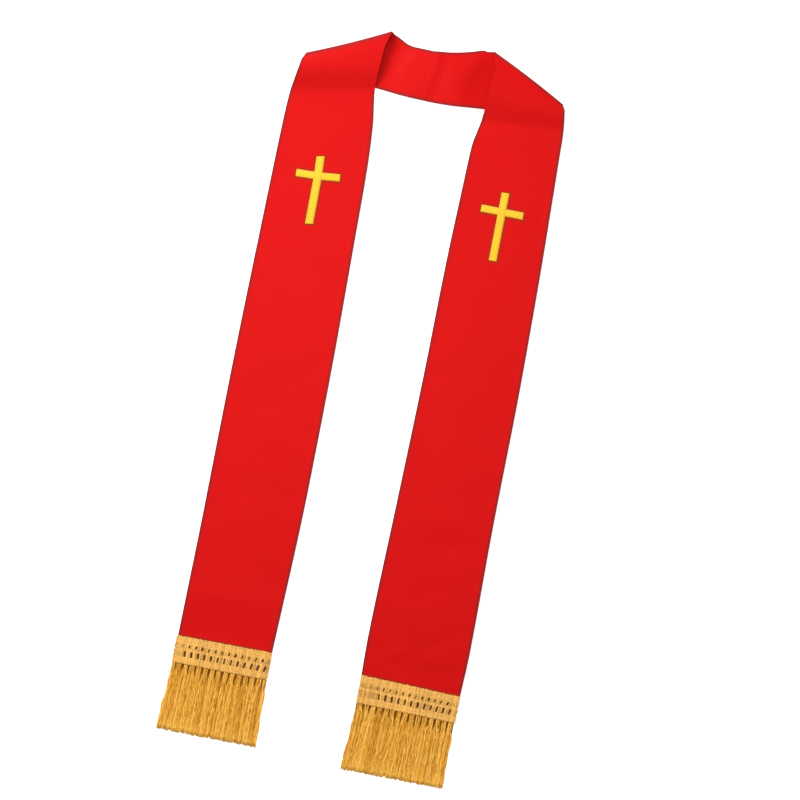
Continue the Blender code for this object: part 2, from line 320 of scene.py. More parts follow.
# %% [markdown]
# ## The cloth
#
# Each half of the band is one piece of cloth. From the fringe it runs up the front, rises over the neck
# piece, rolls over a slanting shoulder fold and comes back underneath to the seam at the centre of the
# neck. It could be simulated, but a fold that lies just so is easier to place than to drop. So the half is
# described by cross-sections from its inner edge, by the neck, to its outer edge. "out" is the distance
# from the middle of the stole and "lift" the height of the cloth off the table, all in millimetres.

# %% Cross-sections of the two halves
Section = namedtuple("Section", "inner_out inner_y inner_lift outer_out outer_y outer_lift")

FRONT = {
    LEFT: rows_of(
        Section,
        (63.3, -385.5, 0.0, 190.0, -385.5, 0.0),
        (60.8, -307.0, 0.0, 189.4, -307.0, 0.0),
        (57.9, -200.0, 0.0, 188.6, -200.0, 0.0),
        (57.0, -130.0, 0.0, 188.7, -130.0, 0.0),
        (57.5, 40.0, 0.0, 188.6, 40.0, 0.0),
        (60.4, 200.0, 0.0, 187.1, 200.0, 0.0),
        (62.8, 306.0, 0.0, 186.0, 306.0, 0.0),
        (66.4, 360.0, 0.0, 185.2, 352.0, 0.2),
        (71.4, 394.0, 0.0, 184.3, 376.0, 0.8),
        (73.1, 406.5, 0.6, 183.4, 386.5, 2.7),
        (73.2, 414.0, 3.0, 182.1, 394.0, 5.3),
        (73.1, 422.0, 6.2, 180.4, 403.0, 8.9),
        (72.8, 431.0, 9.3, 178.4, 413.0, 12.1),
        (72.2, 440.0, 11.2, 177.3, 418.5, 12.9),
        (71.5, 449.0, 12.2, 176.6, 423.0, 12.9),
        (70.7, 462.0, 12.7, 175.9, 427.3, 12.4),
    ),
    RIGHT: rows_of(
        Section,
        (61.2, -392.8, 0.0, 193.4, -392.8, 0.0),
        (58.9, -307.0, 0.0, 196.2, -307.0, 0.0),
        (61.7, -130.0, 0.0, 194.1, -130.0, 0.0),
        (64.0, 40.0, 0.0, 193.9, 40.0, 0.0),
        (64.4, 200.0, 0.0, 191.0, 200.0, 0.0),
        (66.4, 306.0, 0.0, 187.7, 306.0, 0.0),
        (67.9, 360.0, 0.0, 185.6, 366.0, 0.3),
        (70.9, 378.0, 0.0, 184.9, 390.0, 1.2),
        (72.8, 388.0, 0.0, 184.4, 398.0, 1.8),
        (73.9, 394.5, 0.4, 184.0, 402.0, 2.3),
        (74.6, 401.0, 2.6, 183.5, 406.0, 3.3),
        (75.4, 409.0, 6.1, 182.9, 410.5, 5.0),
        (75.9, 419.0, 9.9, 182.1, 415.0, 6.9),
        (76.3, 431.0, 13.1, 181.3, 419.5, 8.7),
        (77.2, 446.0, 14.5, 180.5, 423.8, 9.9),
        (78.9, 466.0, 14.3, 179.8, 427.2, 10.3),
    ),
}
FOLD = {
    LEFT: Section(64.9, 487.2, 6.2, 171.5, 437.5, 5.5),
    RIGHT: Section(72.8, 486.8, 6.2, 175.6, 436.0, 4.6),
}
NECK = {
    LEFT: rows_of(
        Section,
        (50.5, 480.4, 0.0, 133.0, 418.0, 0.0),
        (43.0, 476.5, 0.0, 98.0, 412.0, 0.0),
        (33.5, 473.9, 0.0, 66.4, 409.9, 0.0),
        (19.0, 473.2, 0.0, 33.0, 406.6, 0.0),
        (4.8, 472.6, 0.0, -0.1, 405.5, 0.0),
    ),
    RIGHT: rows_of(
        Section,
        (57.5, 486.8, 0.0, 136.0, 418.0, 0.0),
        (47.0, 483.1, 0.0, 101.0, 412.4, 0.0),
        (34.0, 479.3, 0.0, 69.6, 410.1, 0.0),
        (17.0, 475.5, 0.0, 33.0, 406.1, 0.0),
        (-5.1, 472.6, 0.0, -0.2, 405.5, 0.0),
    ),
}
FOLD_BOW = {LEFT: -1.4, RIGHT: 1.2}
BOW_REACH = 30.0
for side, name in SIDE_NAMES.items():
    low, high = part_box(name + "_half")
    end = FRONT[side][0].inner_y * MM
    print(name, "half: solid ends at", round(low.y, 4), "and the sections at", round(end, 4))

# %% [markdown]
# ### A smooth surface through the sections
#
# Straight lines between sections would show as kinks, so each edge is a smooth curve through them. Its
# slope at a section comes from the sections on both sides. The roll at the fold is half an ellipse. The
# result is a list of edge pairs 2 to 3 mm apart, and the cloth's middle surface is stretched between them.
# The left fold line sags a little between its ends and the right one swells, by their "bow".

# %% From sections to edge pairs
THICKNESS = 2.0
ROLL_DEPTH = 5.0
ROLL_STEPS = 20
STATION_STEP = 2.1


def edge_pair(section):
    """The inner and outer edge points in the middle of the cloth's thickness, as two rows of three."""
    middle = THICKNESS / 2
    inner = (section.inner_out, section.inner_y, middle + section.inner_lift)
    outer = (section.outer_out, section.outer_y, middle + section.outer_lift)
    return np.array([inner, outer])


def lengths(rows):
    return np.linalg.norm(rows, axis=1, keepdims=True)


def smooth_run(pairs):
    """Edge pairs on a smooth curve through the given ones, about one station step apart."""
    run = []
    for index in range(len(pairs) - 1):
        before, start = pairs[max(index - 1, 0)], pairs[index]
        end, after = pairs[index + 1], pairs[min(index + 2, len(pairs) - 1)]
        span = lengths(end - start)
        slope_start = (end - before) / (span + lengths(start - before)) * span
        slope_end = (after - start) / (lengths(after - end) + span) * span
        steps = max(1, round(float(span.max()) / STATION_STEP))
        for part in np.arange(steps) / steps:
            square, cube = part**2, part**3
            run.append(
                start * (2 * cube - 3 * square + 1) + slope_start * (cube - 2 * square + part)
                + end * (3 * square - 2 * cube) + slope_end * (cube - square)
            )
    run.append(pairs[-1])
    return run


def outward_of(fold):
    """The level direction in which the shoulder fold points away from the stole."""
    line = fold[1] - fold[0]
    return np.array([-line[1], line[0], 0.0]) / np.hypot(line[0], line[1])


def roll_run(fold, front, neck):
    """Edge pairs round the shoulder fold, half an ellipse at each edge."""
    outward = outward_of(fold)
    radius = fold[:, 2:] - THICKNESS / 2
    run = []
    for turn in np.linspace(0, pi, ROLL_STEPS + 1):
        neighbour = front if turn < pi / 2 else neck
        back = (neighbour - fold) * (1, 1, 0)
        back *= ROLL_DEPTH / np.abs(back @ outward)[:, None]
        run.append(fold + back * (1 - sin(turn)) + radius * cos(turn) * (0, 0, 1))
    return run


def half_run(side):
    """Edge pairs from the fringe to the centre seam, and the place in the list where the roll starts."""
    front = [edge_pair(section) for section in FRONT[side]]
    neck = [edge_pair(section) for section in NECK[side]]
    roll = roll_run(edge_pair(FOLD[side]), front[-1], neck[0])
    front_run = smooth_run(front + roll[:1])
    neck_run = smooth_run(roll[-1:] + neck)
    run = np.array(front_run[:-1] + roll + neck_run[1:])
    run[:, :, 2] = np.maximum(run[:, :, 2], THICKNESS / 2)
    return run, len(front_run) - 1


runs = {side: half_run(side) for side in (LEFT, RIGHT)}
print("stations along each half:", [len(run) for run, _ in runs.values()])

# %% [markdown]
# ### Creases
#
# Cloth that has been folded, packed and laid out is never dead flat. The creases here are soft ridges and
# troughs, each a smooth bump that is long one way and short the other. They follow the picture: a hollow
# above each braid where it is sewn on, drag lines below the shoulder, and a few faint patches lower down.
# "up" is measured along the front from the cloth's end, "over" from the inner edge. The neck piece
# doesn't touch the table in its middle: it bridges, so it has swells of its own.

# %% Creases
Crease = namedtuple("Crease", "up over long short height turn")

CREASES = {
    LEFT: rows_of(
        Crease,
        (44, 52, 62, 14, -1.05, 2),
        (90, 66, 60, 15, 1.12, -4),
        (135, 32, 38, 15, -0.45, 35),
        (196, 92, 46, 16, 0.45, -28),
        (240, 64, 66, 20, -0.68, 4),
        (262, 30, 34, 14, 0.38, 32),
        (330, 84, 44, 18, 0.41, 40),
        (345, 92, 30, 12, -0.45, -24),
        (405, 28, 34, 14, -0.34, -32),
        (470, 76, 40, 19, 0.3, 24),
        (522, 106, 30, 10, -0.6, -38),
        (560, 44, 40, 18, 0.34, 30),
        (640, 22, 34, 13, -0.34, -22),
        (726, 60, 52, 16, 0.38, 4),
    ),
    RIGHT: rows_of(
        Crease,
        (60, 30, 36, 10, -0.9, -26),
        (76, 52, 34, 9, 0.83, 34),
        (90, 82, 36, 10, -0.75, 24),
        (56, 104, 34, 12, -0.68, 8),
        (118, 52, 46, 17, 0.52, -30),
        (172, 100, 40, 16, -0.45, 18),
        (224, 84, 46, 13, -0.9, 8),
        (252, 60, 50, 15, 0.68, 6),
        (352, 88, 40, 16, -0.34, 30),
        (430, 36, 40, 15, 0.38, -36),
        (448, 24, 30, 12, -0.45, 28),
        (505, 84, 38, 14, -0.34, 26),
        (536, 84, 30, 12, -0.41, -20),
        (556, 40, 44, 16, 0.34, -18),
        (650, 96, 36, 13, -0.3, 34),
        (735, 62, 50, 16, 0.38, -5),
    ),
}
NECK_SWELLS = rows_of(
    Crease,
    (440, -18, 58, 27, 5.2, 76),
    (434, 29, 58, 30, 6.6, 104),
    (464, 50, 22, 16, 2.6, 50),
    (455, -76, 42, 14, 4.0, 76),
    (452, -34, 40, 9, 0.9, 66),
    (440, -2, 60, 5, 0.55, 82),
    (440, 11, 60, 6, -0.5, 82),
)
CREASE_FLOOR = 1.5
EDGE_SEAM_WIDTH = 8.0
EDGE_SEAM_RISE = 0.16
EDGE_RIPPLE = 0.2
CENTRE_SEAM_WIDTH = 9.0
CENTRE_SEAM_RISE = 0.2
RISE_START, RISE_END = 340.0, 400.0
NECK_RISE_START, NECK_RISE_END = 12, 40


def bumps(creases, up, over):
    """The sum of the creases' heights at arrays of places."""
    height = np.zeros(np.broadcast(up, over).shape)
    for crease in creases:
        turn = radians(crease.turn)
        along = (over - crease.over) * cos(turn) + (up - crease.up) * sin(turn)
        beside = (up - crease.up) * cos(turn) - (over - crease.over) * sin(turn)
        height += crease.height * np.exp(-((along / crease.long) ** 2) - (beside / crease.short) ** 2)
    return height


def front_relief(side, up, over, width):
    """The height of a front's soft creases and seamed edges in millimetres, at arrays of places on it."""
    rim = np.minimum(over, width - over)
    seam = 1 / (1 + np.exp((rim - EDGE_SEAM_WIDTH) / 0.7))
    wander = np.sin(up / 9.0 + side) * np.sin(up / 23.0 + 1.3) + 0.5 * np.sin(up / 5.3 + 2.0 * side)
    ripple = EDGE_RIPPLE * wander * np.exp(-((rim / 11.0) ** 2))
    creases = np.maximum(bumps(CREASES[side], up, over) + CREASE_FLOOR, 0.05)
    return creases + EDGE_SEAM_RISE * seam + ripple


def smooth_step(value, start, end):
    share = np.clip((value - start) / (end - start), 0, 1)
    return share * share * (3 - 2 * share)


# %% [markdown]
# ### Building a half
#
# A grid primitive gives the faces, one row for each pair of edges. Its points are then moved onto the
# middle surface and lifted by the creases. Solidify gives the cloth its thickness to both sides, and Bevel
# rounds the rim, as a turned and pressed edge is round. The UV map is written at the same time, in metres,
# so that the weave keeps its size wherever the band grows wider.

# %% The middle surface
COLUMNS = 84
WALL = 1.9
# The next four numbers place the painted edge shade: how it spreads from the shoulder fold's line, and where
# a front's inner edge lies over the neck piece and so gets none.
FOLD_LINE_SPREAD = {LEFT: 0.75, RIGHT: 0.95}
FOLD_LINE_BELOW = 1.4
OVERLAP_FROM = 407.0
OVERLAP_SHIFT = 10.0
RIM_ROUND = 0.4


def plain_mesh(name, obj):
    """The evaluated object as a new plain and smooth mesh; the object that it came from is removed."""
    graph = bpy.context.evaluated_depsgraph_get()
    mesh = bpy.data.meshes.new_from_object(obj.evaluated_get(graph), depsgraph=graph)
    bpy.data.objects.remove(obj)
    made = added(name, mesh)
    made.data.shade_smooth()
    print(name, len(mesh.polygons), "faces")
    return made


def middle_surface(side):
    """The points of a half's middle surface with their distances up and over, all in millimetres."""
    run, roll_start = runs[side]
    share = np.linspace(0, 1, COLUMNS + 1)
    points = run[:, 0, None] * (1 - share)[None, :, None] + run[:, 1, None] * share[None, :, None]
    middle = points[:, COLUMNS // 2]
    up = np.concatenate([[0], np.cumsum(lengths(np.diff(middle, axis=0))[:, 0])])
    width = lengths(run[:, 1] - run[:, 0])
    near_fold = np.exp(-((up - up[roll_start + ROLL_STEPS // 2]) / BOW_REACH) ** 2)
    bow = FOLD_BOW[side] * near_fold[:, None] * 4 * (share - share**2)[None, :]
    points = points + bow[:, :, None] * outward_of(edge_pair(FOLD[side]))
    return points, up, share[None, :] * width, width


def relief(side, points, up, over, width):
    """How far the creases lift the middle: fully on the front, not at the fold, softly at the neck."""
    roll_start = up[runs[side][1]]
    on_front = (1 - smooth_step(points[:, :, 1], RISE_START, RISE_END)) * (up[:, None] < roll_start)
    from_seam = up[-1] - up[:, None]
    on_neck = smooth_step(up[:, None], roll_start + NECK_RISE_START, roll_start + NECK_RISE_END)
    swells = bumps(NECK_SWELLS, points[:, :, 1], side * points[:, :, 0])
    seam = CENTRE_SEAM_RISE * np.exp(-((from_seam - 6) / CENTRE_SEAM_WIDTH) ** 2)
    return front_relief(side, up[:, None], over, width) * on_front + (swells + seam) * on_neck


def from_fold(side, points):
    """How far each point lies from the line where the shoulder fold turns, inside it and below it."""
    outline = points[runs[side][1] + ROLL_STEPS // 2][None]
    inside = np.maximum((outline - points) @ outward_of(edge_pair(FOLD[side])), 0)
    below = np.maximum(outline[:, :, 2] - points[:, :, 2], 0)
    return inside * FOLD_LINE_SPREAD[side] + below * FOLD_LINE_BELOW


# %% Build each half
def build_half(side):
    name = SIDE_NAMES[side]
    points, up, over, width = middle_surface(side)
    rows = len(points)
    fold_row = runs[side][1] + ROLL_STEPS // 2
    fold_distance = from_fold(side, points)
    points = points.copy()
    points[:, :, 2] += np.maximum(relief(side, points, up, over, width), 0)
    shape = bmesh.new()
    bmesh.ops.create_grid(shape, x_segments=COLUMNS, y_segments=rows - 1, size=0.5)
    uv_layer = shape.loops.layers.uv.new("Cloth")
    rim_layer = shape.verts.layers.float.new("rim")
    for vert in shape.verts:
        column = round((vert.co.x + 0.5) * COLUMNS)
        row = round((vert.co.y + 0.5) * (rows - 1))
        for loop in vert.link_loops:
            loop[uv_layer].uv = (over[row, column] * MM, up[row] * MM)
        x, y, z = points[row, column]
        # The rim distance says where the cloth's colour gets its painted edge shade: an inner edge over the
        # neck piece counts as far from the rim, and the fold's outline counts as a rim.
        covered = OVERLAP_SHIFT if row < fold_row and y > OVERLAP_FROM else 0.0
        vert[rim_layer] = min(
            over[row, column] + covered, width[row, 0] - over[row, column], fold_distance[row, column],
        )
        vert.co = Vector((side * x, y, z)) * MM
    bmesh.ops.recalc_face_normals(shape, faces=shape.faces)
    mesh = bpy.data.meshes.new(name)
    shape.to_mesh(mesh)
    shape.free()
    raw = added("plain " + name, mesh)
    mesh.materials.append(red_cloth)
    wall = raw.modifiers.new("Thickness", "SOLIDIFY")
    wall.thickness = WALL * MM
    wall.offset = 0.0
    wall.use_even_offset = True
    rim = raw.modifiers.new("Rim", "BEVEL")
    rim.width = RIM_ROUND * MM
    rim.segments = 3
    rim.limit_method = "ANGLE"
    rim.angle_limit = radians(50)
    return plain_mesh("cloth_" + name, raw)


cloths = {side: build_half(side) for side in SIDE_NAMES}

# %% [markdown]
# ## Trees that the three trimmings share
#
# Thread, braid and fringe are all yarn along a path, repeated by the hundred. Geometry Nodes suit that:
# the tree lays out points, draws a line at each, bends the lines by a formula and gives them thickness.
# Each tree here takes its sizes as named inputs. A helper makes the tree and its inputs, and another runs
# it on an empty mesh and keeps the result as a plain mesh.

# %% Make a tree and run it
def titled(key):
    return key.replace("_", " ").title()


def new_tree(name, numbers, whole_numbers, **others):
    """A Geometry Nodes tree, and a wire for each of its named inputs: first_hole is titled First Hole."""
    tree = bpy.data.node_groups.new(name, "GeometryNodeTree")
    tree.interface.new_socket("Geometry", in_out="OUTPUT", socket_type="NodeSocketGeometry")
    kinds = dict(others)
    kinds.update(dict.fromkeys(numbers.split(), "Float"))
    kinds.update(dict.fromkeys(whole_numbers.split(), "Int"))
    for key, kind in kinds.items():
        tree.interface.new_socket(titled(key), in_out="INPUT", socket_type="NodeSocket" + kind)
    entry = tree.nodes.new("NodeGroupInput")
    return tree, SimpleNamespace(**{key: Wire(tree, entry.outputs[titled(key)]) for key in kinds})


def end_tree(tree, geometry, material):
    """Realizes the instances, sets the material and joins the result to the tree's output."""
    realized = geometry.node("GeometryNodeRealizeInstances", None, {0: geometry})
    done = realized.node("GeometryNodeSetMaterial", None, {"Geometry": realized, "Material": material})
    exit_node = tree.nodes.new("NodeGroupOutput")
    tree.links.new(done.output, exit_node.inputs[0])


KEPT_ATTRIBUTES = {"tone", "Strand", "position", "material_index", "sharp_face"}


def grow(name, tree, guide=None, **values):
    """Runs a tree with these values for its inputs and gives the result as a plain mesh object."""
    raw = added("growing", guide or bpy.data.meshes.new(name))
    modifier = raw.modifiers.new("Grow", "NODES")
    modifier.node_group = tree
    identifiers = {item.name: item.identifier for item in tree.interface.items_tree}
    for key, value in values.items():
        if titled(key) in identifiers:
            modifier[identifiers[titled(key)]] = value
    made = plain_mesh(name, raw)
    for spare in [layer.name for layer in made.data.attributes if layer.name not in KEPT_ATTRIBUTES]:
        if not spare.startswith("."):
            made.data.attributes.remove(made.data.attributes[spare])
    return made


# %% [markdown]
# ### Yarn along a line
#
# These helpers are what the trees are written with. A tree draws a number for each strand, and the strand's
# points recall it by its name. `lines_at_points` puts a straight line of points at each place, the tree
# moves those points by its formula, and `thicken` turns the lines into yarn. Yarn that lies on cloth finds
# the height of it with a ray from above, so that it follows every crease.

# %% Yarn along a line
def random_number(wire, low, high, seed, index=None):
    """A random number for each point, the same on every run."""
    sockets = {2: low, 3: high, "Seed": seed}
    if index is not None:
        sockets["ID"] = index
    return wire.node("FunctionNodeRandomValue", {"data_type": "FLOAT"}, sockets, out=1)


def store(geometry, name, value, kind="FLOAT", domain="POINT"):
    settings = {"data_type": kind, "domain": domain}
    return geometry.node("GeometryNodeStoreNamedAttribute", settings, {
        "Geometry": geometry, "Name": name, "Value": value,
    })


def recall(wire, name):
    return wire.node("GeometryNodeInputNamedAttribute", {"data_type": "FLOAT"}, {"Name": name})


def vector(wire, x, y, z):
    return wire.node("ShaderNodeCombineXYZ", None, {0: x, 1: y, 2: z})


def lines_at_points(points, samples, stored):
    """A line of samples at each point, whose points know their share along it as "along"."""
    line = points.node("GeometryNodeMeshLine", {"mode": "END_POINTS"}, {
        "Count": samples, "Start Location": (0, 0, 0), "Offset": (0, 1, 0),
    })
    line = store(line, "along", points.node("GeometryNodeInputPosition").part(1))
    for name, value in stored.items():
        points = store(points, name, value)
    placed = points.node("GeometryNodeInstanceOnPoints", None, {"Points": points, "Instance": line})
    return placed.node("GeometryNodeRealizeInstances", None, {0: placed})


def thicken(lines, radius, sides, flatness=1.0):
    """Round or flattened yarn along each line, with a Strand UV map: metres along, share round."""
    curves = lines.node("GeometryNodeMeshToCurve", None, {"Mesh": lines})
    parameter = curves.node("GeometryNodeSplineParameter", out=1)
    curves = store(curves, "strand_length", parameter)
    circle = curves.node("GeometryNodeCurvePrimitiveCircle", None, {"Resolution": sides, "Radius": radius})
    turn = circle.node("GeometryNodeSplineParameter", out=0)
    circle = store(circle, "strand_turn", turn)
    squash = vector(circle, 1.0, flatness, 1.0)
    circle = circle.node("GeometryNodeTransform", None, {"Geometry": circle, "Scale": squash})
    tube = curves.node("GeometryNodeCurveToMesh", None, {
        "Curve": curves, "Profile Curve": circle, "Fill Caps": True,
    })
    uv = vector(tube, recall(tube, "strand_length"), recall(tube, "strand_turn"), 0.0)
    return tube.node("GeometryNodeStoreNamedAttribute", {"data_type": "FLOAT2", "domain": "CORNER"}, {
        "Geometry": tube, "Name": "Strand", "Value": uv,
    })


def join(*parts):
    """Several geometries as one."""
    made = parts[0].tree.nodes.new("GeometryNodeJoinGeometry")
    for part in reversed(parts):
        part.tree.links.new(part.output, made.inputs[0])
    return Wire(parts[0].tree, made.outputs[0])


def moved_to(geometry, x, y, z):
    """Every point of the geometry at a new place, given in millimetres."""
    place = vector(geometry, x * MM, y * MM, z * MM)
    return geometry.node("GeometryNodeSetPosition", None, {"Geometry": geometry, "Position": place})


def height_of_cloth(wire, cloth, x, y):
    """The height in millimetres of the cloth's upper side below a place, found by a ray from above."""
    shape = wire.node("GeometryNodeObjectInfo", None, {"Object": cloth}, out="Geometry")
    above = vector(wire, x * MM, y * MM, 0.1)
    hit = wire.node("GeometryNodeRaycast", None, {
        "Target Geometry": shape, "Source Position": above, "Ray Direction": (0, 0, -1), "Ray Length": 1.0,
    }, out="Hit Position")
    return hit.part(2) / MM


# %% [markdown]
# ## The crosses
#
# A gold cross is worked on each front in satin stitch: threads laid side by side across a bar, over a
# little padding, so close that no cloth shows. A bump map could fake this, but real threads catch the
# light one by one and end in the slightly uneven edge that shows it is sewn. The guide is four edges, the
# upright's two parts and the two arms up to it, each with its own small lean, as hand-guided sewing has.
# The edges know the width of their bar and the slant of its stitches.

# %% The bars of a cross
Cross = namedtuple("Cross", "x y above below left right upright_width arm_width top_lean foot_lean "
                            "left_lean right_lean stitch_slant")
CROSSES = {
    LEFT: Cross(-125.1, 280.3, 26.1, 64.5, 29.2, 29.2, 11.0, 10.0, 3.2, 0.6, 2.1, 5.9, 7.5),
    RIGHT: Cross(124.6, 280.6, 25.6, 65.9, 28.1, 28.6, 10.6, 9.9, 0.3, 0.3, 0.2, -0.3, 2.0),
}
THREAD_SAMPLES = 11
ARM_START = 0.45
Bar = namedtuple("Bar", "start end width slant")


def bars_of(cross):
    """The four bars of a cross, each from the crossing outwards, and how far their stitches slant."""
    middle = Vector((cross.x, cross.y))
    bars = []
    for turn, lean, length in (
        (90, cross.top_lean, cross.above), (-90, cross.foot_lean, cross.below),
        (180, cross.left_lean, cross.left), (0, cross.right_lean, cross.right),
    ):
        along = Vector((cos(radians(turn + lean)), sin(radians(turn + lean))))
        if abs(turn) == 90:
            slant = tan(radians(cross.stitch_slant))
            bars.append(Bar(middle, middle + along * length, cross.upright_width, slant))
        else:
            start = middle + along * cross.upright_width * ARM_START
            bars.append(Bar(start, middle + along * length, cross.arm_width, 0.0))
    return bars


def bar_guide(side):
    """The bars as a mesh of edges whose points know half of their bar's width and its stitches' slant."""
    bars = bars_of(CROSSES[side])
    mesh = bpy.data.meshes.new("Bars")
    points = [Vector((*end, THICKNESS)) * MM for bar in bars for end in (bar.start, bar.end)]
    mesh.from_pydata(points, [(2 * place, 2 * place + 1) for place in range(len(bars))], [])
    halves = mesh.attributes.new("half_width", "FLOAT", "POINT")
    slants = mesh.attributes.new("slant", "FLOAT", "POINT")
    for index in range(len(points)):
        halves.data[index].value = bars[index // 2].width / 2
        slants.data[index].value = bars[index // 2].slant
    return mesh


# %% [markdown]
# ### Satin threads
#
# The tree walks along the bars and puts one thread at each step. A thread is a line across the bar whose
# middle is bowed up over the padding. Its two ends reach a random little more or less than half the bar's
# width. A thread's tone is painted paler in its middle, as a highlight where it faces the light, and
# darker towards its ends, as painted shade.

# %% Lay satin threads
def satin_tree():
    tree, size = new_tree("Satin stitch", "pitch crown thread loose", "seed", guide="Geometry",
                          cloth="Object")
    bars = size.guide.node("GeometryNodeMeshToCurve", None, {"Mesh": size.guide})
    bars = bars.node("GeometryNodeResampleCurve", {"mode": "LENGTH"}, {
        "Curve": bars, "Length": size.pitch * MM,
    })
    tangent = bars.node("GeometryNodeInputTangent")
    place = bars.node("GeometryNodeInputPosition")
    share = bars.node("GeometryNodeSplineParameter", out=0)
    length = bars.node("GeometryNodeSplineLength", out=0) / MM
    half = recall(bars, "half_width")
    slant = recall(bars, "slant")
    along_x, along_y = tangent.part(0), tangent.part(1)
    threads = lines_at_points(bars, THREAD_SAMPLES, {
        "centre_x": place.part(0) / MM,
        "centre_y": place.part(1) / MM,
        "across_x": along_y + along_x * slant,
        "across_y": along_y * slant - along_x,
        "bow": (length - share * length).rise(-0.6, 1.2),
        "start_reach": half + random_number(bars, -1.0, 1.0, size.seed) * size.loose,
        "end_reach": half + random_number(bars, -1.0, 1.0, size.seed + 1) * size.loose,
        "tone_own": random_number(bars, 0.0, 1.0, size.seed + 2),
    })
    own = partial(recall, threads)
    over = own("along") * 2 - 1
    # Painted highlight and shade: a thread's tone is paler in its middle and darker towards its ends.
    inside = 1 - over.absolute().rise(0.35, 1.0)
    threads = store(threads, "tone", own("tone_own") * 0.3 + inside * 0.75)
    start_part = (-over).at_least(0.0) * own("start_reach")
    end_part = over.at_least(0.0) * own("end_reach")
    reach = end_part - start_part
    x = own("centre_x") + own("across_x") * reach
    y = own("centre_y") + own("across_y") * reach
    bow = (1 - (over * over).power(2.0)) * own("bow") * size.crown
    z = height_of_cloth(threads, size.cloth, x, y) + bow + size.thread * 0.6
    threads = moved_to(threads, x, y, z)
    end_tree(tree, thicken(threads, size.thread * MM, 5), satin_thread)
    return tree


satin = satin_tree()
crosses = {}
for side, name in SIDE_NAMES.items():
    crosses[side] = grow("embroidery_" + name, satin, bar_guide(side), cloth=cloths[side],
                         pitch=0.40, crown=0.8, thread=0.30, loose=0.18, seed=10 + side)

# %% [markdown]
# ## The openwork braids
#
# A braid is sewn across the end of each front. It has two close bands with two rows of holes between them,
# and the holes of the upper row stand over the posts of the lower. It is woven here as it is on a loom.
# Upright yarns run down the whole braid. A formula pushes them aside at each hole, so they gather into
# posts, and cross yarns run over and under them in the bands. Nothing is cut: the holes are only where the
# yarns keep apart. "down" is measured from the braid's top edge, in millimetres.

# %% The braids' sizes
Braid = namedtuple("Braid", "inner outer top top_slant foot foot_slant first_hole hole_pitch first_open "
                            "last_open")
BRAIDS = {
    LEFT: Braid(62.0, 190.8, -354.6, -1.1, -390.5, -0.4, 67.5, 9.08, 0.0, 12.0),
    RIGHT: Braid(60.2, 194.6, -360.3, -3.0, -397.0, -1.5, 70.9, 8.79, 2.0, 13.0),
}
BRAID_DEPTH = 36.5
YARNS_PER_POST = 8
YARN_SAMPLES = 78
WEFT_SAMPLES = 230
SHADE_BACKING_PITCH = 0.85
SHADE_BACKING_SAMPLES = 24
BAND_ROWS = [0.7 + 0.95 * row for row in range(10)] + [17.2, 18.2] + [28.2 + row for row in range(8)]
UPPER_BAND_PHASE = (0.7, 0.95)
LOWER_BAND_PHASE = (28.2, 1.0)
HoleRow = namedtuple("HoleRow", "window middle lean lean_across narrowest widest opening shift")
HOLE_ROWS = rows_of(
    HoleRow,
    ((18.4, 20.4, 26.4, 28.4), 23.4, 0.06, 0.42, 0.13, 0.20, 0.85, 0.0),
    ((9.4, 11.2, 14.0, 16.0), 12.7, 0.26, 0.20, 0.08, 0.19, 0.70, 0.5),
)
WEAVE_HEIGHT = 0.95
WEAVE_DEPTH = 0.3
HEM = 1.5


# %% Where a place of a braid lies
def weave_phase(down):
    """Counts the cross yarns passed: whole numbers fall on them."""
    upper = (down - UPPER_BAND_PHASE[0]) / UPPER_BAND_PHASE[1]
    lower = (down - LOWER_BAND_PHASE[0]) / LOWER_BAND_PHASE[1]
    is_lower = down.rise(13.0, 13.1)
    return upper * (1 - is_lower) + lower * is_lower


def within(value, window):
    """1 between the window's middle two numbers, 0 outside its outer two, and soft slopes between."""
    return value.rise(*window[:2]) * (1 - value.rise(*window[2:]))


def pushed(beside, width):
    """How far a yarn moves from the middle of a hole, which lies "beside" away from its home."""
    return beside.sign() * width * (1 - beside.absolute() * 2)


def braid_place(size, wire, out, down):
    """Where a place of the braid lies: along x and y, with the height of the cloth there."""
    share = (out - size.inner) / (size.outer - size.inner)
    top = size.top + share * size.top_slant
    foot = size.foot + share * size.foot_slant
    y = top + (foot - top) * (down / BRAID_DEPTH)
    x = out * size.side
    held_x = out.at_least(size.cloth_inner).at_most(size.cloth_outer) * size.side
    return x, y, height_of_cloth(wire, size.cloth, held_x, y.at_least(size.cloth_end))


# %% [markdown]
# ### Upright yarns
#
# Each upright yarn has a home place, which counts in holes: "post" is a whole number in the middle of a hole
# of the lower row and halfway between two holes of the upper, by that row's "shift". The formula pushes the
# yarn away from the middle of the hole that it would cross, by most where it is nearest. Near the braid's
# ends the holes are nearly shut, as they are on the real one, and the posts lean a little.

